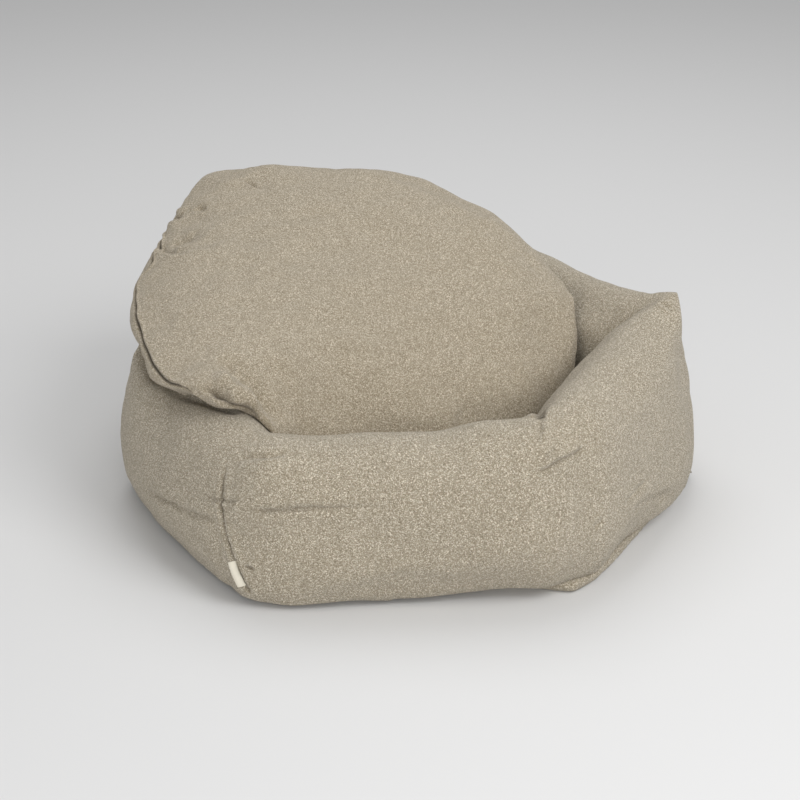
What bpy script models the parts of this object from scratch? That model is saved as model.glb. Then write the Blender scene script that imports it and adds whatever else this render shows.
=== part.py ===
"""Hexagonal dog bed: six filled walls sewn end to end on a thin base pad, with a
loose pillow leaning inside that spills over the left wall, and a small sewn-in label.

Metres, +Z up. The origin is the middle of the base pad's underside, the front wall
runs along X, and +Y points to the back.
"""

import math
from collections import namedtuple

import bmesh
import bpy
import numpy as np
from mathutils import Vector
from mathutils.bvhtree import BVHTree

# ---- driving dimensions: base and walls ----
BASE_THICKNESS = 0.016
BASE_EDGE_ROUND = 0.005
BASE_STEPS = 8
SEAT_GAP = 0.0003
EDGE_CLEARANCE = 0.003
FOOT_RUN = 0.010
FLOOR_CLEARANCE = 0.0005

WALL_STATIONS = 15
PROFILE_POINTS = 28
END_TRIM = 0.0008
SEAM_DEPTH = 0.0025
SEAM_HALF_WIDTH = 0.025
REACH_FLATNESS = 2.6
HEIGHT_FLATNESS = 2.0

# A wall's section runs through these handles. Each reach is the distance from the
# bed's middle, square to the wall for a side and along the radius for a corner.
HANDLES = (
    "sole_in", "sole_out", "foot", "belly", "shoulder",
    "crest", "inner_shoulder", "inner_belly", "heel",
)
SIDE_REACH = dict(
    sole_in=0.212, foot=0.296, belly=0.310, shoulder=0.296,
    crest=0.252, inner_shoulder=0.210, inner_belly=0.190, heel=0.196,
)
CORNER_REACH = dict(
    sole_in=0.250, foot=0.330, belly=0.343, shoulder=0.322,
    crest=0.290, inner_shoulder=0.250, inner_belly=0.222, heel=0.230,
)
SHOULDER_SHARE = 0.85
INNER_BELLY_SHARE = 0.46
HEEL_RISE = 0.016

# How each corner and each stretch of a side departs from the common section. A
# corner's place is its angle from +X towards +Y in degrees, and a stretch's runs
# from -1 at the side's first corner to 1 at its last. Heights are absolute, and
# the _out columns move a handle outwards. base_reach is where the base pad ends.
Section = namedtuple(
    "Section",
    "name place crest_z crest_out shoulder_out belly_out belly_z foot_out foot_z"
    " base_reach",
)
CORNERS = (
    Section("left", 180, 0.200, 0.000, -0.003, -0.003, 0.085, 0.000, 0.006, 0.314),
    Section("front_left", 234, 0.184, 0.004, 0.000, 0.002, 0.065, 0.012, 0.002, 0.322),
    Section("front_right", 300, 0.207, -0.004, -0.006, -0.008, 0.075, -0.006, 0.021, 0.330),
    Section("right", 360, 0.241, 0.014, -0.005, -0.004, 0.060, 0.014, 0.003, 0.318),
    Section("back_right", 420, 0.221, 0.000, 0.000, 0.000, 0.085, 0.000, 0.006, 0.314),
    Section("back_left", 480, 0.246, 0.000, 0.000, 0.000, 0.085, 0.000, 0.006, 0.314),
)
SIDES = (
    Section("front_left", 0.0, 0.184, 0.004, 0.012, 0.020, 0.060, 0.018, 0.004, 0.280),
    Section("front", -0.6, 0.180, 0.002, 0.006, 0.010, 0.060, 0.018, 0.001, 0.270),
    Section("front", 0.1, 0.182, 0.000, 0.004, 0.006, 0.070, 0.004, 0.012, 0.264),
    Section("front", 0.6, 0.195, 0.000, 0.000, 0.002, 0.070, -0.004, 0.015, 0.268),
    Section("front_right", -0.5, 0.214, -0.002, 0.000, 0.004, 0.068, 0.006, 0.021, 0.300),
    Section("front_right", 0.3, 0.222, -0.002, 0.000, 0.012, 0.056, 0.022, 0.012, 0.300),
    Section("back_right", 0.0, 0.213, 0.000, 0.000, 0.000, 0.080, 0.000, 0.010, 0.272),
    Section("back", 0.0, 0.236, 0.000, 0.000, 0.000, 0.080, 0.000, 0.010, 0.268),
    Section("back_left", 0.0, 0.218, 0.000, 0.000, 0.000, 0.080, 0.000, 0.010, 0.272),
)
SIDE_NAMES = ("front_left", "front", "front_right", "back_right", "back", "back_left")

# ---- driving dimensions: pillow ----
PILLOW_SEGMENTS = 72
PILLOW_RINGS = 24
PILLOW_FACING = (0.0, -0.50, 0.866)
PILLOW_FACE_RISE = 0.055
PILLOW_BACK_RISE = 0.062
PILLOW_PLUMPNESS = 0.7
PILLOW_CLEARANCE = 0.0012
PILLOW_SMOOTH_STEPS = 9
CLEARING_STEPS = 5
FACE_LINES = ((0, 1), (1, 2), (0, 2), (1, 3))
LINE_SHARES = (0.0, 0.25, 0.5, 0.75)
DRAW_IN_REACH = 0.006
SQUARENESS = 0.8

# The pillow's rim, from its right end round the back to the left and the front.
Rim = namedtuple("Rim", "place x y z")
PILLOW_RIM = (
    Rim("right", 0.211, 0.055, 0.182),
    Rim("right", 0.203, 0.098, 0.205),
    Rim("upper right", 0.178, 0.145, 0.230),
    Rim("upper right", 0.150, 0.178, 0.242),
    Rim("upper right", 0.112, 0.212, 0.259),
    Rim("top right corner", 0.058, 0.255, 0.281),
    Rim("top", 0.010, 0.276, 0.291),
    Rim("top", -0.050, 0.288, 0.296),
    Rim("top", -0.112, 0.292, 0.298),
    Rim("top", -0.176, 0.288, 0.297),
    Rim("top left corner", -0.232, 0.276, 0.295),
    Rim("top left corner", -0.264, 0.240, 0.286),
    Rim("gathered notch", -0.287, 0.182, 0.262),
    Rim("left", -0.313, 0.116, 0.236),
    Rim("flap tip", -0.323, 0.028, 0.217),
    Rim("flap", -0.314, -0.062, 0.207),
    Rim("flap", -0.280, -0.144, 0.204),
    Rim("flap over crest", -0.219, -0.190, 0.199),
    Rim("fold into the bed", -0.160, -0.194, 0.166),
    Rim("lower left", -0.100, -0.168, 0.085),
    Rim("foot", -0.030, -0.160, 0.058),
    Rim("foot", 0.050, -0.148, 0.058),
    Rim("lower right", 0.125, -0.100, 0.072),
    Rim("right below", 0.190, -0.020, 0.120),
)

# Folds of the pillow's face: a line from start to end, its width and its height,
# which is below zero for a trough.
Fold = namedtuple("Fold", "name start end width height")
PILLOW_FOLDS = (
    Fold("ridge over the crest", (-0.215, -0.160, 0.210), (-0.150, -0.190, 0.168), 0.012, 0.010),
    Fold("trough beside it", (-0.150, -0.172, 0.182), (-0.128, -0.180, 0.160), 0.016, -0.006),
    Fold("gathered notch", (-0.292, 0.146, 0.262), (-0.264, 0.108, 0.266), 0.012, -0.014),
    Fold("gather above it", (-0.268, 0.168, 0.278), (-0.248, 0.138, 0.280), 0.013, -0.010),
    Fold("upper gather", (-0.256, 0.212, 0.292), (-0.236, 0.180, 0.296), 0.011, -0.009),
    Fold("short crease", (-0.198, 0.220, 0.310), (-0.174, 0.187, 0.307), 0.008, -0.005),
)

# ---- driving dimensions: label ----
LABEL_WIDTH = 0.012
LABEL_THICKNESS = 0.001
LABEL_GAP = 0.0007
LABEL_GRID = (6, 12)
LABEL_SEAM_TOP = (-0.1862, 0.0470)
LABEL_SEAM_BOTTOM = (-0.1790, 0.0225)


def clear_scene():
    for obj in list(bpy.data.objects):
        bpy.data.objects.remove(obj, do_unlink=True)


def cloth_material(name, colour, roughness):
    material = bpy.data.materials.new(name)
    material.use_nodes = True
    shader = material.node_tree.nodes["Principled BSDF"]
    shader.inputs["Base Color"].default_value = (*colour, 1)
    shader.inputs["Roughness"].default_value = roughness
    shader.inputs["Metallic"].default_value = 0
    return material


def finish(name, bm, material):
    """An object of the bmesh, smooth-shaded, with its faces pointing out."""
    bmesh.ops.recalc_face_normals(bm, faces=bm.faces)
    mesh = bpy.data.meshes.new(name)
    bm.to_mesh(mesh)
    bm.free()
    mesh.shade_smooth()
    mesh.materials.append(material)
    obj = bpy.data.objects.new(name, mesh)
    bpy.context.scene.collection.objects.link(obj)
    return obj


def closed_spline(points, count):
    """count points, evenly shared out, on a closed smooth curve through the given ones."""
    points = np.asarray(points, float)
    total = len(points)
    at = np.arange(count) / count * total
    start = np.floor(at).astype(int)
    f = (at - start)[:, None]
    p0, p1, p2, p3 = (points[(start + k) % total] for k in (-1, 0, 1, 2))
    return 0.5 * (
        2 * p1
        + (p2 - p0) * f
        + (2 * p0 - 5 * p1 + 4 * p2 - p3) * f**2
        + (3 * p1 - p0 - 3 * p2 + p3) * f**3
    )


def join_loops(bm, loops):
    """Bands of four-sided faces from each closed loop of points to the next."""
    for one, two in zip(loops, loops[1:]):
        for i in range(len(one)):
            j = (i + 1) % len(one)
            bm.faces.new((one[i], one[j], two[j], two[i]))


def section_handles(common, row):
    """(reach, height) of each handle of one section."""
    reach = dict(common)
    reach["crest"] += row.crest_out
    reach["inner_shoulder"] += 0.6 * row.crest_out
    reach["shoulder"] += row.shoulder_out
    reach["belly"] += row.belly_out
    reach["foot"] += row.foot_out
    reach["sole_out"] = min(row.base_reach + EDGE_CLEARANCE, reach["foot"] - FOOT_RUN)
    sole = BASE_THICKNESS + SEAT_GAP
    height = dict(
        sole_in=sole, sole_out=sole, foot=row.foot_z, belly=row.belly_z,
        shoulder=SHOULDER_SHARE * row.crest_z, crest=row.crest_z,
        inner_shoulder=SHOULDER_SHARE * row.crest_z,
        inner_belly=INNER_BELLY_SHARE * row.crest_z, heel=sole + HEEL_RISE,
    )
    return np.array([(reach[name], height[name]) for name in HANDLES])


def side_directions(index):
    """A side's outward direction, its direction along the wall times the slope of its
    end planes, and the share of a corner's radius that is square to the side."""
    start = CORNERS[index].place
    end = CORNERS[(index + 1) % len(CORNERS)].place
    if end < start:
        end += 360
    middle = math.radians((start + end) / 2)
    half = math.radians((end - start) / 2)
    outward = np.array([math.cos(middle), math.sin(middle)])
    along = np.array([-math.sin(middle), math.cos(middle)])
    return outward, along * math.tan(half), math.cos(half)


def blend_along(stretches, ends, place):
    """Values at a place of a side, from its stretches' rows and its two corners' rows.
    Reach, in column 0, turns to a corner's later and more sharply than height."""
    places = [row[0] for row in stretches]
    if places[0] < place < places[-1]:
        after = next(i for i, there in enumerate(places) if there >= place)
        one, two = stretches[after - 1], stretches[after]
        share = (place - one[0]) / (two[0] - one[0])
        return one[1] + (two[1] - one[1]) * share * share * (3 - 2 * share)
    near, end, corner = (
        (stretches[0], ends[0], -1) if place <= places[0] else (stretches[-1], ends[1], 1)
    )
    share = abs(place - near[0]) / abs(corner - near[0])
    flatness = np.array([REACH_FLATNESS, HEIGHT_FLATNESS])
    return near[1] + (end - near[1]) * share**flatness


def side_rows(index):
    """The rows of a side's stretches and of the corners at its two ends."""
    rows = [row for row in SIDES if row.name == SIDE_NAMES[index]]
    return rows, (CORNERS[index], CORNERS[(index + 1) % len(CORNERS)])


def base_reach(index, place):
    """Where the base pad ends, square to a side, at a place along it."""
    corner_share = side_directions(index)[2]
    rows, corner_rows = side_rows(index)
    stretches = [(row.place, np.array([row.base_reach, 0.0])) for row in rows]
    ends = [np.array([row.base_reach * corner_share, 0.0]) for row in corner_rows]
    return blend_along(stretches, ends, place)[0]


def wall_rings(index):
    """Rings of points round the wall's section, from its first corner to its last."""
    outward, along, corner_share = side_directions(index)
    rows, corner_rows = side_rows(index)
    stretches = [(row.place, section_handles(SIDE_REACH, row)) for row in rows]
    ends = [
        section_handles(CORNER_REACH, row) * (corner_share, 1) for row in corner_rows
    ]
    sole = BASE_THICKNESS + SEAT_GAP
    rings = []
    for station in range(WALL_STATIONS):
        place = -math.cos(math.pi * station / (WALL_STATIONS - 1)) * (1 - 2 * END_TRIM)
        handles = blend_along(stretches, ends, place)
        ring = closed_spline(handles, PROFILE_POINTS)
        on_base = ring[:, 0] < base_reach(index, place) + EDGE_CLEARANCE
        ring[on_base, 1] = np.maximum(ring[on_base, 1], sole)
        ring[:, 1] = np.maximum(ring[:, 1], FLOOR_CLEARANCE)
        from_end = (1 - abs(place)) * ring[:, 0].max() * np.linalg.norm(along)
        pinch = SEAM_DEPTH * max(0.0, 1 - from_end / SEAM_HALF_WIDTH) ** 2
        away = ring - ring.mean(axis=0)
        away /= np.linalg.norm(away, axis=1, keepdims=True)
        ring -= np.where(ring[:, 1:] > sole + pinch, away * pinch, 0)
        plan = ring[:, :1] * (outward + along * place)
        rings.append(np.column_stack([plan, ring[:, 1]]))
    return rings


def make_wall(index, material):
    bm = bmesh.new()
    loops = [[bm.verts.new(point) for point in ring] for ring in wall_rings(index)]
    join_loops(bm, loops)
    bm.faces.new(loops[0])
    bm.faces.new(loops[-1])
    return finish(f"wall_{SIDE_NAMES[index]}", bm, material)


def make_base(material):
    """Six-cornered pad, drawn in along its sides, with rounded edges."""
    outline = []
    for index in range(len(CORNERS)):
        outward, along, _ = side_directions(index)
        for step in range(BASE_STEPS):
            place = -1 + 2 * step / BASE_STEPS
            spot = base_reach(index, place) * (outward + along * place)
            outline.append((*spot, 0.0))
    bm = bmesh.new()
    bottom = bm.faces.new([bm.verts.new(point) for point in outline])
    grown = bmesh.ops.extrude_face_region(bm, geom=[bottom])
    top = [item for item in grown["geom"] if isinstance(item, bmesh.types.BMVert)]
    bmesh.ops.translate(bm, verts=top, vec=(0, 0, BASE_THICKNESS))
    rims = [edge for edge in bm.edges if abs(edge.verts[0].co.z - edge.verts[1].co.z) < 1e-6]
    bmesh.ops.bevel(
        bm, geom=rims, offset=BASE_EDGE_ROUND, segments=3, profile=0.5,
        affect="EDGES", material=-1,
    )
    return finish("base_pad", bm, material)


def surface_of(walls):
    """One searchable surface of the walls, without the flat ends inside their seams."""
    points = []
    faces = []
    for wall in walls:
        first = len(points)
        points += [vert.co.copy() for vert in wall.data.vertices]
        sides = [face for face in wall.data.polygons if len(face.vertices) == 4]
        faces += [[first + i for i in face.vertices] for face in sides]
    return BVHTree.FromPolygons(points, faces)


def wall_spots(walls):
    """Spots along the edges and diagonals of the walls' four-sided faces."""
    spots = []
    for wall in walls:
        points = [vert.co for vert in wall.data.vertices]
        for face in wall.data.polygons:
            if len(face.vertices) != 4:
                continue
            corners = [points[i] for i in face.vertices]
            for one, two in FACE_LINES:
                spots += [corners[one].lerp(corners[two], share) for share in LINE_SHARES]
    return spots


def fold_height(point):
    """How far the folds lift or sink the pillow's face at a point."""
    total = 0.0
    for fold in PILLOW_FOLDS:
        start = Vector(fold.start)
        run = Vector(fold.end) - start
        share = (point - start).dot(run) / run.length_squared
        share = min(max(share, 0.0), 1.0)
        off = (point - start - run * share).length
        total += fold.height * math.exp(-((off / fold.width) ** 2))
    return total


def pillow_rings():
    """Rings of points from the middle of the pillow's underside to that of its face.

    The middle surface is stretched over the rim as evenly as a soap film: each wave
    of the rim fades towards the middle by its own power of the distance."""
    rim = closed_spline([row[1:] for row in PILLOW_RIM], PILLOW_SEGMENTS)
    waves = np.fft.rfft(rim, axis=0)
    order = np.arange(len(waves))[:, None]
    facing = np.array(Vector(PILLOW_FACING).normalized())
    rings = []
    for step in range(1, PILLOW_RINGS):
        latitude = math.pi * (step / PILLOW_RINGS - 0.5)
        share = math.cos(latitude) ** PILLOW_PLUMPNESS
        film = np.fft.irfft(waves * share**order, n=PILLOW_SEGMENTS, axis=0)
        rise = PILLOW_FACE_RISE if latitude > 0 else PILLOW_BACK_RISE
        rings.append(film + facing * rise * math.sin(latitude))
    return rings


def push_out(surface, spot):
    """The move that takes a spot clear of a closed surface, or None where it is clear."""
    nearest, normal, _, distance = surface.find_nearest(spot)
    if (spot - nearest).dot(normal) > 0 and distance > PILLOW_CLEARANCE:
        return None
    return nearest + normal * PILLOW_CLEARANCE - spot


def draw_in(bm, spots, clearance):
    """Draw a surface's faces in wherever a spot straight behind them is too close."""
    bm.normal_update()
    bm.faces.ensure_lookup_table()
    surface = BVHTree.FromBMesh(bm)
    moves = {}
    for spot in spots:
        nearest, normal, index, distance = surface.find_nearest(spot, DRAW_IN_REACH)
        if nearest is None:
            continue
        height = (spot - nearest).dot(normal)
        if abs(height) < SQUARENESS * distance:
            continue
        depth = clearance - height
        for vert in bm.faces[index].verts:
            if depth > moves.get(vert, (0.0, normal))[0]:
                moves[vert] = (depth, normal)
    for vert, (depth, normal) in moves.items():
        vert.co -= normal * depth


def settle(bm, walls):
    """Rest the pillow on the base and push it clear of the walls, keeping it smooth."""
    surface = surface_of(walls)
    for _ in range(PILLOW_SMOOTH_STEPS):
        pushed = []
        for vert in bm.verts:
            move = push_out(surface, vert.co)
            if move:
                vert.co += move
                pushed.append(vert)
        bmesh.ops.smooth_vert(
            bm, verts=pushed, factor=0.5, use_axis_x=True, use_axis_y=True,
            use_axis_z=True,
        )
    spots = wall_spots(walls)
    for _ in range(CLEARING_STEPS):
        for vert in bm.verts:
            vert.co += push_out(surface, vert.co) or Vector()
        draw_in(bm, spots, PILLOW_CLEARANCE)
    for vert in bm.verts:
        vert.co.z = max(vert.co.z, BASE_THICKNESS + SEAT_GAP)


def make_pillow(walls, material):
    bm = bmesh.new()
    loops = [[bm.verts.new(point) for point in ring] for ring in pillow_rings()]
    facing = Vector(PILLOW_FACING).normalized()
    for loop in loops[PILLOW_RINGS // 2:]:
        for vert in loop:
            vert.co += facing * fold_height(vert.co)
    join_loops(bm, loops)
    for loop in (loops[0], loops[-1]):
        pole = bm.verts.new(np.mean([vert.co for vert in loop], axis=0))
        for i in range(len(loop)):
            bm.faces.new((loop[i], loop[(i + 1) % len(loop)], pole))
    bmesh.ops.recalc_face_normals(bm, faces=bm.faces)
    settle(bm, walls)
    return finish("cushion", bm, material)


def make_label(wall, material):
    """A small woven tab that lies on the front wall, its left edge along the seam."""
    surface = surface_of([wall])
    outward = Vector((*side_directions(SIDE_NAMES.index("front"))[0], 0.0))
    across = Vector((-outward.y, outward.x, 0.0))
    top = Vector((LABEL_SEAM_TOP[0], 0.0, LABEL_SEAM_TOP[1]))
    down = Vector((LABEL_SEAM_BOTTOM[0], 0.0, LABEL_SEAM_BOTTOM[1])) - top
    columns, rows = LABEL_GRID
    bm = bmesh.new()
    lines = []
    for row in range(rows + 1):
        line = []
        for column in range(columns + 1):
            aim = top + down * (row / rows) + across * (LABEL_WIDTH * column / columns)
            spot = surface.ray_cast(aim + outward, -outward)[0]
            line.append(bm.verts.new(spot))
        lines.append(line)
    for upper, lower in zip(lines, lines[1:]):
        for i in range(columns):
            bm.faces.new((upper[i], upper[i + 1], lower[i + 1], lower[i]))
    bm.normal_update()
    facing = -sum((face.normal for face in bm.faces), Vector()).normalized()
    bmesh.ops.translate(bm, verts=bm.verts, vec=facing * LABEL_GAP)
    grown = bmesh.ops.extrude_face_region(bm, geom=bm.faces[:], use_keep_orig=True)
    front = [item for item in grown["geom"] if isinstance(item, bmesh.types.BMVert)]
    bmesh.ops.translate(bm, verts=front, vec=facing * LABEL_THICKNESS)
    return finish("label", bm, material)


def main():
    clear_scene()
    boucle = cloth_material("boucle", (0.42, 0.36, 0.28), 0.95)
    walls = [make_wall(index, boucle) for index in range(len(CORNERS))]
    make_base(boucle)
    make_pillow(walls, boucle)
    woven = cloth_material("woven_label", (0.75, 0.70, 0.58), 0.8)
    make_label(walls[SIDE_NAMES.index("front")], woven)


main()
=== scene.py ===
"""Looks of the hexagonal dog bed: a boucle ring of six filled walls on a thin base
pad, a slack boucle pillow that leans in it and spills over the left wall, and a
small folded label in the front-left seam.

Metres, +Z up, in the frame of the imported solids.
"""

import math
from collections import namedtuple

import bmesh
import bpy
import numpy as np
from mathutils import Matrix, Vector, noise
from mathutils.bvhtree import BVHTree


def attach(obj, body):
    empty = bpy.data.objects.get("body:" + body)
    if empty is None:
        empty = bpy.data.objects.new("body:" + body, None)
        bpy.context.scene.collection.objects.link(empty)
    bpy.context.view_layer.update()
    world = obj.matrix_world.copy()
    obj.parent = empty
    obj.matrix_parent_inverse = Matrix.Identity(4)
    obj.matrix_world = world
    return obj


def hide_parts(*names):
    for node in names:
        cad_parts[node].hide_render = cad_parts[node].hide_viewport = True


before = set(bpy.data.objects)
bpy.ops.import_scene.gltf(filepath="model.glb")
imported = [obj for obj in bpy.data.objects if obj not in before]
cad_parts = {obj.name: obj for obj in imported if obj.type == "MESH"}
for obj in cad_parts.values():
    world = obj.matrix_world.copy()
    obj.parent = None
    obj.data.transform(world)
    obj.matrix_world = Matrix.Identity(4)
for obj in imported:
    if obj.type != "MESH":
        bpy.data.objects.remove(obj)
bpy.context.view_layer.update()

# ---- sizes ----
WALLS = (
    "wall_front_left", "wall_front", "wall_front_right",
    "wall_back_right", "wall_back", "wall_back_left",
)
# Loose triangles of one solid are merged at MERGE, the open ends of two walls at
# CORNER_MERGE. A wall's end face lies upright within END_TILT, and within END_PLANE of
# the bed's middle line.
MERGE = 0.00002
CORNER_MERGE = 0.0016
END_TILT = 0.05
END_PLANE = 0.002

# Cells of the even meshes, small enough for the swelling and large enough to keep each
# piece under 200,000 triangles. Narrow creases get finer faces within FINE_REACH.
RING_VOXEL = 0.0083
PILLOW_VOXEL = 0.0073
BASE_VOXEL = 0.0060
FINE_REACH = 0.011
FINE_CUTS = 2
ROUTE_STEPS = 6

# The covers' cloth while they fill: pressure on them, how much larger than their
# filling they are cut, and how far a point may move.
PUFF_FRAMES = 20
PUFF_QUALITY = 5
PUFF_CLOTH = {
    "mass": 0.3, "tension_stiffness": 12, "compression_stiffness": 12,
    "shear_stiffness": 4, "bending_stiffness": 0.6, "air_damping": 3,
}
Puff = namedtuple("Puff", "pressure slack reach")
RING_PUFF = Puff(3.0, 0.02, 0.004)
PILLOW_PUFF = Puff(3.0, 0.03, 0.005)
PILLOW_CLEARANCE = 0.0008

# Uneven filling: size and height of its swellings, and a seed for where they lie.
Rumple = namedtuple("Rumple", "size height seed")
RING_RUMPLES = (Rumple(0.09, 0.0035, 3.1), Rumple(0.035, 0.0014, 7.7))
PILLOW_RUMPLES = (Rumple(0.08, 0.005, 5.3), Rumple(0.03, 0.0026, 1.9))
BASE_RUMPLES = (Rumple(0.05, 0.0008, 2.2),)

# Corners are named by their angle in degrees from +X. The right front one has no
# seam that shows, so it is smoothed round. Those behind have a plain one.
SOFT_CORNER = 300
SOFT_HALF_WIDTH = 0.030
SOFT_STEPS = 14
SEAMED_CORNERS = (60, 120, 180)
SEAM_HEIGHTS = (0.020, 0.045, 0.075, 0.105, 0.135, 0.165, 0.190)

# The label's tape: its layers' thickness and lift off the wall, where the cut edges
# begin and end in the seam, the way it faces, and how far out it is laid on from.
LABEL_WIDTH = 0.012
LABEL_LAYER = 0.0004
LABEL_LIFT = 0.0008
LABEL_FOLD = 4
LABEL_COLUMNS = 14
LABEL_ROWS = 12
LABEL_TOP = (-0.1965, -0.2980, 0.0555)
LABEL_BOTTOM = (-0.1870, -0.3050, 0.0290)
LABEL_FACING = (-0.62, -0.78, 0.05)
LABEL_AIM = 0.05

# Sizes of the patterns in millimetres. A curl of the yarn is nearer 3 mm across, but
# its loops break the light up at about a third of that. The label's warp is nearer
# 0.3 mm and would not show, so its lines are drawn about four times as coarse.
CURL_SIZE = 1.15
YARN_SIZE = 0.7
FLECK_SIZE = 0.8
WARP_SIZE = 1.184

# The wave node repeats its bands each 1/20 turn of its own units.
WAVE_REPEAT = math.tau / 20

# The camera's place: degrees of turn to the left and of tilt down, metres from its
# aim, and millimetres of lens and sensor.
CAMERA_TURN = -2.31
CAMERA_TILT = 24.0
CAMERA_AIM = (-0.0105, 0.0, 0.1052)
CAMERA_AWAY = 2.293
CAMERA_LENS = 87.36
CAMERA_SENSOR = 36

# The studio: an even pale surround, and softboxes with their width and watts.
FLOOR_HALF = 6.0
SURROUND = 0.44
Softbox = namedtuple("Softbox", "name place aim width power")
SOFTBOXES = (
    Softbox("overhead", (0, 1.0, 2.4), (0, 0, 0), 2.0, 20),
    Softbox("front right", (1.4, -1.4, 2.0), (0, 0, 0.1), 1.6, 33),
    Softbox("front", (0.2, -2.3, 1.0), (0, 0, 0.1), 1.0, 12),
    Softbox("low left", (-1.8, -1.8, 0.35), (0, 0, 0.1), 0.8, 9),
)

# A crease is a soft trough along a route. Its width is that of the trough, left and
# right are the heights of the rolls of cloth beside it, as shares of its depth, and
# spread is how far away their tops lie. Left and right are seen from outside, along
# the route. A depth below zero makes a ridge. fade is the share of the route over
# which it runs out at either end.
Crease = namedtuple("Crease", "name width depth left right spread fade route")

# A crease strays sideways by SIDE_WANDER of its width and is up to DEPTH_WANDER deeper
# or flatter, in waves of the length WANDER. The rolls are ROLL of spread wide. Where it is
# more than LOOSE_CREASE times as deep as wide, it is pinched and shade is painted into
# the cloth's colour there.
WANDER = 0.011
SIDE_WANDER = 0.7
DEPTH_WANDER = 0.4
ROLL = 0.55
LOOSE_CREASE = 1.4
RING_CREASES = (
    Crease("front-left seam", 0.0014, 0.0028, 0.4, 0.4, 0.007, 0.14, (
        (-0.2031, -0.2556, 0.1547), (-0.2094, -0.2678, 0.1130),
        (-0.2059, -0.2778, 0.0827), (-0.1989, -0.2956, 0.0540), (-0.1880, -0.3030, 0.0300),
        (-0.1800, -0.3040, 0.0160))),
    Crease("soft fold from the seam's top", 0.0034, 0.0040, 0.3, 0.6, 0.010, 0.3, (
        (-0.2031, -0.2556, 0.1547), (-0.1772, -0.2716, 0.1666),
        (-0.1562, -0.2769, 0.1721), (-0.1345, -0.2753, 0.1732))),
    Crease("short fold across the seam", 0.0017, 0.0026, 0.2, 0.8, 0.005, 0.35, (
        (-0.2329, -0.2422, 0.1100), (-0.2216, -0.2559, 0.1095), (-0.2094, -0.2678, 0.1130),
        (-0.1972, -0.2804, 0.1180), (-0.1852, -0.2897, 0.1236))),
    Crease("long fold of the left wall", 0.0024, 0.0036, 0.7, 0.5, 0.009, 0.3, (
        (-0.3229, -0.0936, 0.0524), (-0.2948, -0.1543, 0.0670), (-0.2691, -0.1998, 0.0760),
        (-0.2511, -0.2255, 0.0803), (-0.2278, -0.2553, 0.0868), (-0.2111, -0.2712, 0.0912))),
    Crease("long fold of the front wall", 0.0022, 0.0035, 0.8, 0.5, 0.009, 0.35, (
        (-0.1975, -0.2859, 0.1032), (-0.1781, -0.2970, 0.1133), (-0.1571, -0.3061, 0.1187),
        (-0.1364, -0.3088, 0.1208), (-0.1158, -0.3095, 0.1230), (-0.0746, -0.3110, 0.1230),
        (-0.0231, -0.3135, 0.1254))),
    Crease("arc beside the label", 0.0016, 0.0029, 0.5, 0.2, 0.005, 0.3, (
        (-0.1903, -0.3039, 0.0512), (-0.1828, -0.3082, 0.0523), (-0.1766, -0.3113, 0.0491))),
    Crease("fold round the right of the front", 0.0015, 0.0026, 0.8, 0.3, 0.005, 0.2, (
        (0.1183, -0.3051, 0.1575), (0.1288, -0.3033, 0.1599), (0.1461, -0.2950, 0.1658),
        (0.1614, -0.2799, 0.1663), (0.1735, -0.2734, 0.1711))),
    Crease("faint fold above it", 0.0018, 0.0020, 0.5, 0.2, 0.005, 0.35, (
        (0.1247, -0.3007, 0.1667), (0.1365, -0.2947, 0.1738), (0.1460, -0.2900, 0.1790))),
    Crease("tuck at the right inner corner", 0.0044, 0.0100, 0.3, 0.3, 0.010, 0.3, (
        (0.1330, -0.2150, 0.1870), (0.1290, -0.2300, 0.1930), (0.1255, -0.2450, 0.1975),
        (0.1246, -0.2560, 0.1976))),
    Crease("fold down from the tuck", 0.0026, 0.0030, 0.6, 0.3, 0.007, 0.3, (
        (0.1246, -0.2500, 0.1976), (0.1240, -0.2700, 0.1967), (0.1228, -0.2827, 0.1901),
        (0.1170, -0.2909, 0.1827))),
    Crease("low fold of the right wall", 0.0050, 0.0026, 0.3, 0.9, 0.012, 0.3, (
        (0.2935, -0.1221, 0.0402), (0.2775, -0.1534, 0.0499), (0.2565, -0.1951, 0.0653),
        (0.2401, -0.2210, 0.0690), (0.2315, -0.2351, 0.0667))),
    Crease("faint fold in line with it", 0.0030, 0.0022, 0.3, 0.5, 0.007, 0.35, (
        (0.1963, -0.2787, 0.0877), (0.1880, -0.2840, 0.0850), (0.1813, -0.2891, 0.0827))),
    Crease("slanting fold above it", 0.0034, 0.0024, 0.5, 0.3, 0.008, 0.35, (
        (0.2169, -0.2533, 0.0909), (0.2390, -0.2207, 0.0920), (0.2569, -0.1898, 0.0946))),
    Crease("gather at the right ear", 0.0020, 0.0024, 0.5, 0.4, 0.005, 0.35, (
        (0.2881, -0.0140, 0.2299), (0.2951, -0.0215, 0.2277), (0.3028, -0.0259, 0.2219))),
    Crease("hollow under the flap", 0.0075, 0.0085, 0.0, 0.0, 0.020, 0.2, (
        (-0.3010, -0.0440, 0.1750), (-0.2885, -0.0680, 0.1730), (-0.2765, -0.0880, 0.1715),
        (-0.2535, -0.1175, 0.1710), (-0.2290, -0.1500, 0.1770), (-0.2060, -0.1785, 0.1795),
        (-0.1845, -0.2045, 0.1795))),
    Crease("deep end of that hollow", 0.0105, 0.0095, 0.0, 0.0, 0.020, 0.35, (
        (-0.3110, 0.0200, 0.1840), (-0.3070, -0.0100, 0.1790), (-0.3020, -0.0440, 0.1740),
        (-0.2920, -0.0700, 0.1710), (-0.2760, -0.0930, 0.1700))),
)

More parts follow.
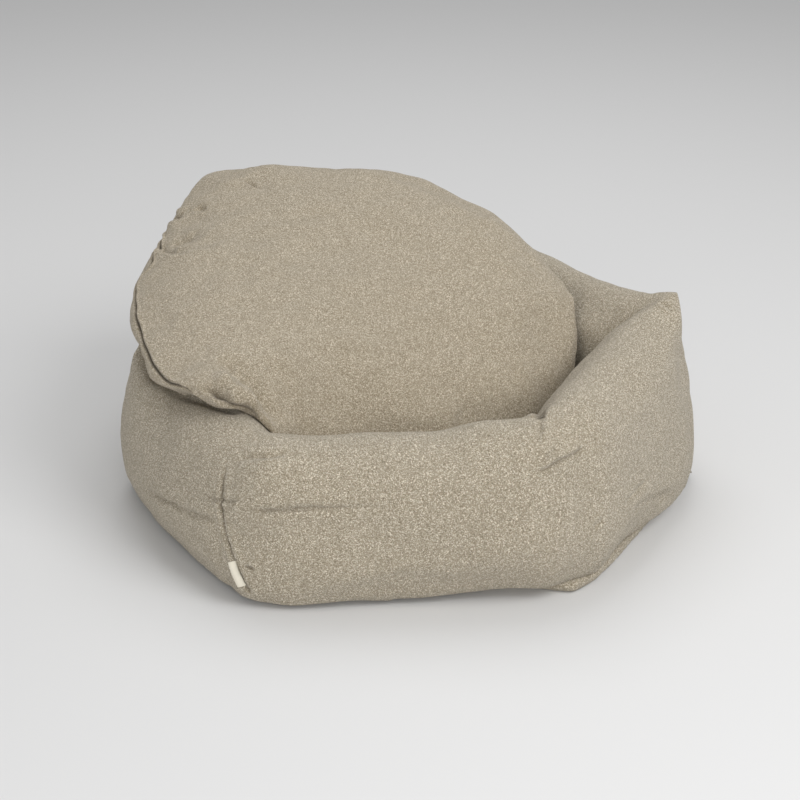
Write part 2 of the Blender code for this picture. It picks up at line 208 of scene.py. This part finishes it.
# A pull draws the cloth round a place along a move, less and less as far as reach.
Pull = namedtuple("Pull", "name centre reach move")
RING_PULLS = (
    Pull("room under the flap", (-0.270, -0.130, 0.196), 0.040, (0.004, 0.0, -0.006)),
    Pull("foot of the right front corner", (0.168, -0.285, 0.020), 0.050, (0.003, -0.004, -0.008)),
    Pull("low right corner", (0.335, -0.040, 0.015), 0.032, (-0.004, 0.002, 0.004)),
    Pull("right side", (0.345, -0.010, 0.110), 0.050, (0.004, 0.0, 0.0)),
    Pull("right side below the ear", (0.316, -0.060, 0.158), 0.034, (-0.007, 0.0, 0.0)),
    Pull("fullness under the ear", (0.306, -0.030, 0.214), 0.024, (0.005, 0.0, 0.0)),
    Pull("left side", (-0.338, 0.0, 0.130), 0.055, (0.004, 0.0, 0.0)),
    Pull("right back crest", (0.240, 0.090, 0.208), 0.050, (0.0, 0.0, 0.006)),
    Pull("lower edge of the front", (0.000, -0.290, 0.020), 0.085, (0.0, -0.002, -0.008)),
    Pull("right ear", (0.306, -0.006, 0.238), 0.024, (0.006, 0.0, 0.006)),
)
PILLOW_PULLS = (
    Pull("flap hangs over the crest", (-0.285, -0.130, 0.207), 0.050, (0.0, -0.006, -0.011)),
    Pull("fold laid on the crest", (-0.200, -0.178, 0.198), 0.030, (0.0, -0.018, -0.003)),
    Pull("fold goes down inside", (-0.170, -0.180, 0.178), 0.022, (-0.004, -0.010, 0.0)),
    Pull("foot of that fold", (-0.154, -0.182, 0.162), 0.024, (0.0, -0.012, -0.011)),
    Pull("left edge", (-0.312, 0.065, 0.243), 0.045, (-0.006, 0.0, 0.001)),
    Pull("left edge of the flap", (-0.318, -0.010, 0.228), 0.040, (-0.004, 0.0, 0.0)),
    Pull("gathered left edge", (-0.285, 0.165, 0.268), 0.045, (-0.007, 0.002, 0.003)),
    Pull("full top left corner", (-0.235, 0.255, 0.296), 0.045, (-0.007, 0.003, 0.005)),
    Pull("left rise of the top edge", (-0.172, 0.232, 0.316), 0.032, (0.0, 0.0, 0.005)),
    Pull("right rise of the top edge", (-0.048, 0.225, 0.315), 0.030, (0.0, 0.0, 0.005)),
    Pull("right slope", (0.104, 0.160, 0.272), 0.045, (0.003, 0.0, 0.006)),
)

# The pillow's seam runs just outside its face on the left, and behind it elsewhere.
SEAM_ON_FLAP = (
    (-0.2445, -0.1781, 0.1945), (-0.2565, -0.1721, 0.1980), (-0.2654, -0.1664, 0.2003),
    (-0.2768, -0.1531, 0.2054), (-0.2876, -0.1351, 0.2120), (-0.2979, -0.1002, 0.2131),
    (-0.3079, -0.0675, 0.2202), (-0.3135, -0.0374, 0.2264), (-0.3177, 0.0009, 0.2299),
    (-0.3187, 0.0426, 0.2325), (-0.3134, 0.0689, 0.2413), (-0.3031, 0.0803, 0.2533),
)
SEAM_BEHIND = (
    (-0.287, 0.182, 0.262), (-0.264, 0.240, 0.286), (-0.232, 0.276, 0.295),
    (-0.176, 0.288, 0.297), (-0.112, 0.292, 0.298), (-0.050, 0.288, 0.296),
    (0.010, 0.276, 0.291), (0.058, 0.255, 0.281), (0.112, 0.212, 0.259),
    (0.150, 0.178, 0.242), (0.178, 0.145, 0.230), (0.203, 0.098, 0.205),
    (0.211, 0.055, 0.182), (0.190, -0.020, 0.120), (0.125, -0.100, 0.072),
    (0.050, -0.148, 0.058), (-0.030, -0.160, 0.058), (-0.100, -0.168, 0.085),
    (-0.160, -0.194, 0.166),
)
SEAM_SET_BACK = (0.0, 0.0040, -0.0069)
PILLOW_CREASES = (
    Crease("crevice beside the flap", 0.0050, 0.0120, 0.2, 0.0, 0.012, 0.22, (
        (-0.2300, -0.1830, 0.2090), (-0.2188, -0.1921, 0.2060), (-0.2079, -0.2011, 0.2017),
        (-0.1995, -0.2095, 0.1935), (-0.1900, -0.2130, 0.1860), (-0.1800, -0.2110, 0.1795),
        (-0.1710, -0.2040, 0.1730))),
    Crease("ridge over the front-left crest", 0.0075, -0.0074, 0.0, 0.0, 0.018, 0.3, (
        (-0.2180, -0.1650, 0.2160), (-0.2085, -0.1775, 0.2135), (-0.1944, -0.1913, 0.2053),
        (-0.1807, -0.1974, 0.1949), (-0.1662, -0.1988, 0.1777))),
    Crease("hollow beside the ridge", 0.0085, 0.0092, 0.0, 0.2, 0.016, 0.3, (
        (-0.2150, -0.1400, 0.2190), (-0.1997, -0.1544, 0.2163), (-0.1770, -0.1714, 0.2021),
        (-0.1600, -0.1839, 0.1826), (-0.1445, -0.1842, 0.1588))),
    Crease("edge of the shelf", 0.0042, 0.0052, 0.0, 0.5, 0.010, 0.3, (
        (-0.3000, 0.1350, 0.2520), (-0.2931, 0.1247, 0.2575), (-0.2849, 0.0964, 0.2624),
        (-0.2750, 0.0780, 0.2670), (-0.2639, 0.0690, 0.2706), (-0.2483, 0.0642, 0.2733))),
    Crease("hollow above the shelf", 0.0120, 0.0052, 0.0, 0.0, 0.030, 0.45, (
        (-0.2900, 0.1340, 0.2620), (-0.2740, 0.1131, 0.2690), (-0.2600, 0.1050, 0.2780),
        (-0.2300, 0.1000, 0.2860))),
    Crease("pit at the gathered edge", 0.0040, 0.0065, 0.4, 0.4, 0.011, 0.3, (
        (-0.2850, 0.1900, 0.2700), (-0.2780, 0.1800, 0.2760), (-0.2700, 0.1720, 0.2820))),
    Crease("pit beside it", 0.0035, 0.0045, 0.3, 0.3, 0.009, 0.3, (
        (-0.2560, 0.1720, 0.2900), (-0.2469, 0.1633, 0.2933), (-0.2380, 0.1580, 0.2950))),
    Crease("short fold below the top edge", 0.0020, 0.0026, 0.5, 0.5, 0.006, 0.3, (
        (-0.1958, 0.2119, 0.3127), (-0.1844, 0.1962, 0.3099), (-0.1743, 0.1834, 0.3087))),
)

# ---- helpers for meshes ----


def merged_copy(node):
    """A bmesh of a CAD node, its loose triangles joined."""
    bm = bmesh.new()
    bm.from_mesh(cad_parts[node].data)
    bmesh.ops.remove_doubles(bm, verts=bm.verts, dist=MERGE)
    return bm


def new_piece(name, bm):
    """A smooth-shaded object of a bmesh."""
    mesh = bpy.data.meshes.new(name)
    bm.to_mesh(mesh)
    bm.free()
    mesh.shade_smooth()
    piece = bpy.data.objects.new(name, mesh)
    bpy.context.scene.collection.objects.link(piece)
    return piece


def apply_modifiers(piece):
    """Keep what the piece's modifiers make as its own mesh."""
    graph = bpy.context.evaluated_depsgraph_get()
    mesh = bpy.data.meshes.new_from_object(piece.evaluated_get(graph))
    piece.modifiers.clear()
    piece.data = mesh
    mesh.shade_smooth()


def remesh(piece, voxel):
    modifier = piece.modifiers.new("even weave", "REMESH")
    modifier.mode = "VOXEL"
    modifier.voxel_size = voxel
    apply_modifiers(piece)


def subdivide(piece, levels=1):
    modifier = piece.modifiers.new("finer", "SUBSURF")
    modifier.levels = levels
    modifier.render_levels = levels
    apply_modifiers(piece)


def points_of(piece):
    flat = np.empty(len(piece.data.vertices) * 3, np.float32)
    piece.data.vertices.foreach_get("co", flat)
    return flat.reshape(-1, 3).astype(float)


def normals_of(piece):
    flat = np.empty(len(piece.data.vertices) * 3, np.float32)
    piece.data.vertices.foreach_get("normal", flat)
    return flat.reshape(-1, 3).astype(float)


def set_points(piece, points):
    piece.data.vertices.foreach_set("co", points.astype(np.float32).ravel())
    piece.data.update()


def puff(piece, filling):
    """Fill the piece like a stuffed cover that is cut a little too large for its
    filling. It keeps its size, and no point moves further than the filling's reach."""
    rest = points_of(piece)
    outward = normals_of(piece)
    cloth = piece.modifiers.new("filling", "CLOTH")
    settings = cloth.settings
    settings.quality = PUFF_QUALITY
    for name, value in PUFF_CLOTH.items():
        setattr(settings, name, value)
    settings.use_pressure = True
    settings.uniform_pressure_force = filling.pressure
    settings.shrink_min = -filling.slack
    settings.effector_weights.gravity = 0
    cloth.collision_settings.use_collision = False
    cloth.point_cache.frame_end = PUFF_FRAMES
    for step in range(1, PUFF_FRAMES + 1):
        bpy.context.scene.frame_set(step)
    apply_modifiers(piece)
    bpy.context.scene.frame_set(1)
    move = points_of(piece) - rest
    swelling = np.einsum("ij,ij->i", move, outward).mean()
    move -= outward * swelling
    length = np.linalg.norm(move, axis=1, keepdims=True)
    share = np.minimum(1.0, filling.reach / np.maximum(length, 1e-9))
    set_points(piece, rest + move * share)


def off_route(points, normals, route):
    """Each point's distance from a line through the route's points, below zero on its
    left, and how far along the line it lies, from 0 to 1."""
    route = np.array(route, float)
    best = np.full(len(points), np.inf)
    signed = np.full(len(points), np.inf)
    along = np.zeros(len(points))
    for i, (one, two) in enumerate(zip(route, route[1:])):
        run = two - one
        share = np.clip((points - one) @ run / (run @ run), 0, 1)
        away = points - one - share[:, None] * run
        off = np.linalg.norm(away, axis=1)
        side = np.sign(np.einsum("ij,ij->i", away, np.cross(run, normals)))
        nearer = off < best
        best[nearer] = off[nearer]
        signed[nearer] = (off * side)[nearer]
        along[nearer] = (i + share[nearer]) / (len(route) - 1)
    return signed, along


def smooth_route(route):
    """More points on a smooth curve through a route."""
    route = [Vector(point) for point in route]
    padded = [route[0] * 2 - route[1], *route, route[-1] * 2 - route[-2]]
    points = []
    for p0, p1, p2, p3 in zip(padded, padded[1:], padded[2:], padded[3:]):
        for step in range(ROUTE_STEPS):
            t = step / ROUTE_STEPS
            points.append(0.5 * (
                2 * p1 + (p2 - p0) * t + (2 * p0 - 5 * p1 + 4 * p2 - p3) * t * t
                + (3 * p1 - p0 - 3 * p2 + p3) * t * t * t
            ))
    return points + [route[-1]]


def laid_on(piece, creases):
    """The creases with smooth routes that lie on the piece's surface."""
    surface = surface_of([piece])
    return [
        crease._replace(route=[
            surface.find_nearest(point)[0] for point in smooth_route(crease.route)
        ])
        for crease in creases
    ]


def near_route(points, route, reach):
    """Which points are close enough to a route to be touched by its crease."""
    route = np.array(route, float)
    inside = np.all(points > route.min(axis=0) - reach, axis=1)
    inside &= np.all(points < route.max(axis=0) + reach, axis=1)
    return np.flatnonzero(inside)


def refine(piece, creases):
    """Finer faces along the narrow creases."""
    points = points_of(piece)
    normals = normals_of(piece)
    fine = np.zeros(len(points), bool)
    for crease in creases:
        if crease.width > FINE_REACH / 3:
            continue
        near = near_route(points, crease.route, FINE_REACH)
        off = off_route(points[near], normals[near], crease.route)[0]
        fine[near[np.abs(off) < FINE_REACH]] = True
    bm = bmesh.new()
    bm.from_mesh(piece.data)
    edges = [edge for edge in bm.edges if all(fine[vert.index] for vert in edge.verts)]
    bmesh.ops.subdivide_edges(bm, edges=edges, cuts=FINE_CUTS, use_grid_fill=True)
    bm.to_mesh(piece.data)
    bm.free()
    piece.data.shade_smooth()


def run_out(crease, along):
    """How fully a crease shows at each share of its route, from 0 to 1."""
    return np.clip(np.minimum(along, 1 - along) / max(crease.fade, 1e-6), 0, 1)


def press_creases(piece, creases):
    """Sink each crease into the cloth, a little unevenly, and raise the rolls beside it."""
    points = points_of(piece)
    normals = normals_of(piece)
    rise = np.zeros(len(points))
    for crease in creases:
        near = near_route(points, crease.route, 3 * crease.spread)
        off, along = off_route(points[near], normals[near], crease.route)
        fade = run_out(crease, along)
        fade = fade * fade * (3 - 2 * fade)
        wander = np.array([noise.noise(Vector(point) / WANDER) for point in points[near]])
        off += SIDE_WANDER * crease.width * wander
        fade *= 1 + DEPTH_WANDER * wander
        roll = ROLL * crease.spread
        shape = -np.exp(-((off / crease.width) ** 2))
        shape += crease.right * np.exp(-(((off - crease.spread) / roll) ** 2))
        shape += crease.left * np.exp(-(((off + crease.spread) / roll) ** 2))
        rise[near] += crease.depth * fade * shape
    set_points(piece, points + normals * rise[:, None])


def pull(piece, pulls):
    """Draw the cloth along each pull's move."""
    points = points_of(piece)
    for one in pulls:
        off = np.linalg.norm(points - one.centre, axis=1)
        points += np.exp(-((off / one.reach) ** 2))[:, None] * np.array(one.move)
    set_points(piece, points)


def paint_crease_shade(piece, creases):
    """Keep how tightly the cloth is pinched at each point, from 0 to 1, as the share of
    painted shade that its material mixes into the cloth's colour there."""
    points = points_of(piece)
    normals = normals_of(piece)
    painted_crease_shade = np.zeros(len(points))
    for crease in creases:
        tightness = min(1.0, crease.depth / crease.width - LOOSE_CREASE)
        if tightness <= 0:
            continue
        near = near_route(points, crease.route, 3 * crease.width)
        off, along = off_route(points[near], normals[near], crease.route)
        depth = tightness * run_out(crease, along) * np.exp(-((off / crease.width) ** 2))
        painted_crease_shade[near] = np.maximum(painted_crease_shade[near], depth)
    # painted shade: how much of the pit colour the material mixes in at each point of a pinched
    # crease
    marks = piece.data.attributes.new("painted_crease_shade", "FLOAT", "POINT")
    marks.data.foreach_set("value", painted_crease_shade.astype(np.float32))


def fold(piece, creases):
    """Lay the creases on the piece and press them in, with painted shade marked where they pinch.
    """
    creases = laid_on(piece, creases)
    refine(piece, creases)
    paint_crease_shade(piece, creases)
    press_creases(piece, creases)


def soften(piece, chosen, steps):
    """Smooth the chosen points of a piece."""
    bm = bmesh.new()
    bm.from_mesh(piece.data)
    bm.verts.ensure_lookup_table()
    verts = [bm.verts[i] for i in chosen]
    for _ in range(steps):
        bmesh.ops.smooth_vert(
            bm, verts=verts, factor=0.5, use_axis_x=True, use_axis_y=True, use_axis_z=True,
        )
    bm.to_mesh(piece.data)
    bm.free()


def rumple(piece, rumples):
    """Raise and lower the surface in the low swellings of uneven filling."""
    points = points_of(piece)
    normals = normals_of(piece)
    rise = np.zeros(len(points))
    for size, height, seed in rumples:
        shift = Vector((seed, 2 * seed, -seed))
        rise += height * np.array(
            [noise.noise(Vector(point) / size + shift) for point in points]
        )
    set_points(piece, points + normals * rise[:, None])


def surface_of(pieces):
    """One searchable surface of several pieces."""
    points = []
    faces = []
    for piece in pieces:
        first = len(points)
        points += [vert.co.copy() for vert in piece.data.vertices]
        faces += [[first + i for i in face.vertices] for face in piece.data.polygons]
    return BVHTree.FromPolygons(points, faces)


def clear_of(piece, surface, clearance):
    """Push the piece's points out of a closed surface that they reach into."""
    points = points_of(piece)
    for i, point in enumerate(points):
        nearest, normal, _, distance = surface.find_nearest(Vector(point))
        height = (Vector(point) - nearest).dot(normal)
        if height < 0 or distance < clearance:
            points[i] = nearest + normal * clearance
    set_points(piece, points)


# ---- the pieces ----


def is_flat_end(face):
    """Whether a face lies in an upright plane through the bed's middle."""
    middle = face.calc_center_median()
    return abs(face.normal.z) < END_TILT and abs(face.normal.dot(middle)) < END_PLANE


def near_corner(points, corner):
    """Indices of the points close to the upright plane of one corner."""
    angle = math.radians(corner)
    outward = np.array([math.cos(angle), math.sin(angle), 0.0])
    beside = np.array([-math.sin(angle), math.cos(angle), 0.0])
    close = np.abs(points @ beside) < SOFT_HALF_WIDTH
    return np.flatnonzero((points @ outward > 0) & close)


def corner_seams(piece):
    """The outer seams of the corners where one shows, down from below the crest."""
    surface = surface_of([piece])
    seams = []
    for corner in SEAMED_CORNERS:
        angle = math.radians(corner)
        outward = Vector((math.cos(angle), math.sin(angle), 0.0))
        route = [
            surface.ray_cast(outward + Vector((0.0, 0.0, height)), -outward)[0]
            for height in SEAM_HEIGHTS
        ]
        seams.append(Crease("corner seam", 0.0019, 0.0030, 0.4, 0.4, 0.007, 0.08, route))
    return seams


def make_ring():
    """The six walls as one sewn cover, joined at their corners."""
    ring = bmesh.new()
    for node in WALLS:
        bm = merged_copy(node)
        bm.normal_update()
        ends = [face for face in bm.faces if is_flat_end(face)]
        bmesh.ops.delete(bm, geom=ends, context="FACES")
        mesh = bpy.data.meshes.new(node)
        bm.to_mesh(mesh)
        bm.free()
        ring.from_mesh(mesh)
    rims = [vert for vert in ring.verts if vert.is_boundary]
    bmesh.ops.remove_doubles(ring, verts=rims, dist=CORNER_MERGE)
    bmesh.ops.recalc_face_normals(ring, faces=ring.faces)
    piece = new_piece("bolster_ring", ring)
    remesh(piece, RING_VOXEL)
    puff(piece, RING_PUFF)
    soften(piece, near_corner(points_of(piece), SOFT_CORNER), SOFT_STEPS)
    subdivide(piece)
    pull(piece, RING_PULLS)
    rumple(piece, RING_RUMPLES)
    fold(piece, (*RING_CREASES, *corner_seams(piece)))
    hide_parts(*WALLS)
    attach(piece, "root")
    return piece


def pillow_seam():
    """The closed seam round the pillow, with a rolled strip of cloth outside it."""
    behind = [Vector(point) + Vector(SEAM_SET_BACK) for point in SEAM_BEHIND]
    route = [*SEAM_ON_FLAP, *behind, SEAM_ON_FLAP[0]]
    return Crease("pillow seam", 0.0015, 0.0036, 0.15, 0.5, 0.0038, 0.0, route)


def make_pillow(ring):
    """The slack pillow, whose flap lies over the left wall, clear of the ring."""
    piece = new_piece("pillow", merged_copy("cushion"))
    remesh(piece, PILLOW_VOXEL)
    puff(piece, PILLOW_PUFF)
    subdivide(piece)
    pull(piece, PILLOW_PULLS)
    rumple(piece, PILLOW_RUMPLES)
    fold(piece, (*PILLOW_CREASES, pillow_seam()))
    clear_of(piece, surface_of([ring]), PILLOW_CLEARANCE)
    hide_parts("cushion")
    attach(piece, "root")
    return piece


def make_base():
    """The thin pad's cover, level where it lies on the floor."""
    piece = new_piece("base_cover", merged_copy("base_pad"))
    remesh(piece, BASE_VOXEL)
    subdivide(piece)
    rumple(piece, BASE_RUMPLES)
    points = points_of(piece)
    points[:, 2] = np.maximum(points[:, 2], 0.0)
    set_points(piece, points)
    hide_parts("base_pad")
    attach(piece, "root")
    return piece


def make_label(ring):
    """A woven tape folded in two, its cut edges in the front-left seam and its fold
    free on the left wall."""
    surface = surface_of([ring])
    top = Vector(LABEL_TOP)
    down = Vector(LABEL_BOTTOM) - top
    outward = Vector(LABEL_FACING).normalized()
    across = down.cross(outward).normalized()
    bm = bmesh.new()
    bmesh.ops.create_grid(bm, x_segments=LABEL_COLUMNS, y_segments=LABEL_ROWS, size=1.0)
    for vert in bm.verts:
        turn = vert.co.x
        reach = LABEL_WIDTH * (1 - turn * turn)
        aim = top + down * ((1 - vert.co.y) / 2) + across * reach
        spot = surface.ray_cast(aim + outward * LABEL_AIM, -outward)[0]
        lift = LABEL_LIFT + 1.5 * LABEL_LAYER * (1 + math.tanh(LABEL_FOLD * turn))
        vert.co = spot + outward * lift
    piece = new_piece("label_tab", bm)
    thick = piece.modifiers.new("tape", "SOLIDIFY")
    thick.thickness = LABEL_LAYER
    thick.offset = 0
    apply_modifiers(piece)
    subdivide(piece)
    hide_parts("label")
    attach(piece, "root")
    return piece


# ---- materials ----


def linear(hex_colour):
    """The linear colour of an sRGB hex value."""
    values = [int(hex_colour[i:i + 2], 16) / 255 for i in (1, 3, 5)]
    return (*[v / 12.92 if v <= 0.04045 else ((v + 0.055) / 1.055) ** 2.4 for v in values], 1)


def add(tree, kind, settings=None, **links):
    """A node of a kind with its settings, its inputs set to values or linked."""
    node = tree.nodes.new(kind)
    for name, value in (settings or {}).items():
        setattr(node, name, value)
    for name, value in links.items():
        key = int(name[1:]) if name[0] == "i" and name[1:].isdigit() else name.replace("_", " ")
        if isinstance(value, bpy.types.NodeSocket):
            tree.links.new(value, node.inputs[key])
        else:
            node.inputs[key].default_value = value
    return node


def start_material(name, roughness):
    """A material with its node tree and its shader."""
    material = bpy.data.materials.new(name)
    material.use_nodes = True
    tree = material.node_tree
    shader = tree.nodes["Principled BSDF"]
    shader.inputs["Roughness"].default_value = roughness
    return material, tree, shader


def per_metre(millimetres):
    """A pattern's scale for features of a size in millimetres."""
    return 1000.0 / millimetres


def boucle(name, light, mid, dark, pit):
    """Looped boucle yarn in undyed wool and flax: small curls over darker pits, a few
    of them pale flecks, matte with a soft bloom where it turns away. The pit colour is
    painted shade, mixed in where the cloth is pinched in a crease."""
    material, tree, shader = start_material(name, 0.95)
    shader.inputs["Specular IOR Level"].default_value = 0.15
    shader.inputs["Sheen Weight"].default_value = 0.2
    shader.inputs["Sheen Roughness"].default_value = 0.6
    place = add(tree, "ShaderNodeTexCoord").outputs["Object"]
    curls = add(
        tree, "ShaderNodeTexVoronoi", {"feature": "SMOOTH_F1"},
        Vector=place, Scale=per_metre(CURL_SIZE), Smoothness=0.3,
    )
    yarn = add(
        tree, "ShaderNodeTexNoise", Vector=place, Scale=per_metre(YARN_SIZE), Detail=2.0,
    )
    height = add(
        tree, "ShaderNodeMath", {"operation": "MULTIPLY_ADD"},
        i0=curls.outputs["Distance"], i1=-0.9, i2=yarn.outputs["Fac"],
    )
    shade = add(
        tree, "ShaderNodeMapRange", {"clamp": True},
        Value=height.outputs[0], From_Min=-0.25, From_Max=0.45,
    )
    body = add(
        tree, "ShaderNodeMix", {"data_type": "RGBA"},
        Factor=shade.outputs[0], i6=linear(dark), i7=linear(mid),
    )
    flecks = add(
        tree, "ShaderNodeTexVoronoi", {"feature": "F1"},
        Vector=place, Scale=per_metre(FLECK_SIZE),
    )
    chance = add(tree, "ShaderNodeSeparateColor", i0=flecks.outputs["Color"])
    rare = add(
        tree, "ShaderNodeMapRange", {"clamp": True},
        Value=chance.outputs[0], From_Min=0.72, From_Max=0.95,
    )
    colour = add(
        tree, "ShaderNodeMix", {"data_type": "RGBA"},
        Factor=rare.outputs[0], i6=body.outputs[2], i7=linear(light),
    )
    # painted shade: the colour is mixed towards the pit colour where the cloth is pinched in a
    # crease
    painted_crease_shade = add(tree, "ShaderNodeAttribute", {"attribute_name": "painted_crease_shade"})
    shaded = add(
        tree, "ShaderNodeMix", {"data_type": "RGBA"},
        Factor=painted_crease_shade.outputs["Fac"], i6=colour.outputs[2], i7=linear(pit),
    )
    tree.links.new(shaded.outputs[2], shader.inputs["Base Color"])
    bump = add(
        tree, "ShaderNodeBump", Height=height.outputs[0], Strength=0.8, Distance=0.0012,
    )
    tree.links.new(bump.outputs[0], shader.inputs["Normal"])
    return material


def label_tape():
    """Cream satin-woven polyester tape: fine warp lines, a faint gloss, left bare."""
    material, tree, shader = start_material("woven_label_tape", 0.6)
    shader.inputs["Specular IOR Level"].default_value = 0.3
    place = add(tree, "ShaderNodeTexCoord").outputs["Object"]
    warp = add(
        tree, "ShaderNodeTexWave", {"bands_direction": "Z"},
        Vector=place, Scale=per_metre(WARP_SIZE) * WAVE_REPEAT, Distortion=0.6,
    )
    colour = add(
        tree, "ShaderNodeMix", {"data_type": "RGBA"},
        Factor=warp.outputs["Fac"], i6=linear("#DAD2BF"), i7=linear("#EFE9DA"),
    )
    tree.links.new(colour.outputs[2], shader.inputs["Base Color"])
    bump = add(
        tree, "ShaderNodeBump", Height=warp.outputs["Fac"], Strength=0.4, Distance=0.0002,
    )
    tree.links.new(bump.outputs[0], shader.inputs["Normal"])
    return material


def floor_paper():
    """Seamless studio paper, matte and pale grey."""
    material, tree, shader = start_material("studio_paper", 0.9)
    shader.inputs["Base Color"].default_value = linear("#DCDCDC")
    shader.inputs["Specular IOR Level"].default_value = 0.1
    return material


# ---- camera, floor and light ----


def make_stage():
    """A plain floor that runs on past the picture."""
    bm = bmesh.new()
    bmesh.ops.create_grid(bm, x_segments=2, y_segments=2, size=FLOOR_HALF)
    floor = new_piece("floor", bm)
    floor.data.materials.append(floor_paper())


def add_softbox(box):
    """A round area light that faces its aim."""
    data = bpy.data.lights.new(box.name, "AREA")
    data.shape = "DISK"
    data.size = box.width
    data.energy = box.power
    lamp = bpy.data.objects.new(box.name, data)
    bpy.context.scene.collection.objects.link(lamp)
    lamp.location = box.place
    lamp.rotation_mode = "QUATERNION"
    facing = Vector(box.aim) - Vector(box.place)
    lamp.rotation_quaternion = facing.to_track_quat("-Z", "Y")


def light_studio():
    """An even surround and the softboxes."""
    scene = bpy.context.scene
    scene.view_settings.view_transform = "Standard"
    scene.world = bpy.data.worlds.new("studio")
    scene.world.use_nodes = True
    surround = scene.world.node_tree.nodes["Background"]
    surround.inputs["Color"].default_value = (1, 1, 1, 1)
    surround.inputs["Strength"].default_value = SURROUND
    for box in SOFTBOXES:
        add_softbox(box)


def place_camera():
    """A long lens that looks down on the bed's front, a little from the left."""
    turn = math.radians(CAMERA_TURN)
    tilt = math.radians(CAMERA_TILT)
    ahead = Vector((
        -math.sin(turn) * math.cos(tilt), math.cos(turn) * math.cos(tilt), -math.sin(tilt),
    ))
    data = bpy.data.cameras.new("camera")
    data.sensor_width = CAMERA_SENSOR
    data.lens = CAMERA_LENS
    camera = bpy.data.objects.new("camera", data)
    bpy.context.scene.collection.objects.link(camera)
    camera.location = Vector(CAMERA_AIM) - ahead * CAMERA_AWAY
    camera.rotation_mode = "QUATERNION"
    camera.rotation_quaternion = ahead.to_track_quat("-Z", "Y")
    bpy.context.scene.camera = camera


def dress(piece, cloth):
    """Give the piece its one material."""
    piece.data.materials.clear()
    piece.data.materials.append(cloth)


# ---- the scene ----

place_camera()
make_stage()
light_studio()

# The last colour of each cloth is painted shade for its pinched creases.
cover_cloth = boucle("looped_boucle_cover", "#E6DDCB", "#C0B49F", "#7F745F", "#5E5444")
pillow_cloth = boucle("looped_boucle_pillow", "#DED3BF", "#C0B39D", "#837761", "#544938")

ring = make_ring()
dress(ring, cover_cloth)
dress(make_pillow(ring), pillow_cloth)
dress(make_base(), cover_cloth)
dress(make_label(ring), label_tape())
